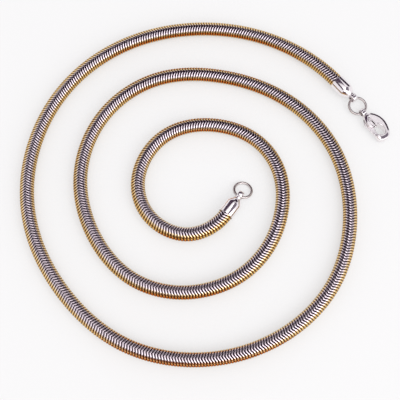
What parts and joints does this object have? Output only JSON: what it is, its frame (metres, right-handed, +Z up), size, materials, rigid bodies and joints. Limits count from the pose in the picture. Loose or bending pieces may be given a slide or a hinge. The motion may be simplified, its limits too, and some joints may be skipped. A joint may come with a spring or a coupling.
{
  "type": "snake chain necklace",
  "caption": "Ribbed snake chain necklace lying unfastened in a flat spiral, with plain end caps, jump rings and a sprung lobster clasp.",
  "frame": {"origin": "middle of the outline of the coiled necklace, on the surface that it lies on", "axes": "+Z up from the surface, +X to the right in the picture and +Y towards its top edge, away from the viewer"},
  "size_m": [0.1038, 0.1008, 0.0045],
  "materials": {
    "chain_plate": "polished ribs, steel with a gold plate on the sides",
    "cap_steel": "mirror polished",
    "ring_steel": "polished wire",
    "clasp_steel": "mirror polished"
  },
  "bodies": {
    "necklace": {"chain_outer": "chain_plate", "chain_inner": "chain_plate", "end_cap_outer": "cap_steel", "end_cap_inner": "cap_steel", "jump_ring_outer": "ring_steel", "jump_ring_inner": "ring_steel", "clasp_claw": "clasp_steel", "clasp_pin": "clasp_steel"},
    "lever": {"clasp_lever": "clasp_steel"}
  },
  "joints": [
    {"name": "lever_hinge", "type": "hinge", "parent": "necklace", "child": "lever", "pos_m": [0.0462, 0.01896, 0.0013], "axis": [0, 0, 1], "range_deg": [0, 22], "stiffness_Nm_per_rad": 0.005, "springref_deg": -28.65}
  ]
}
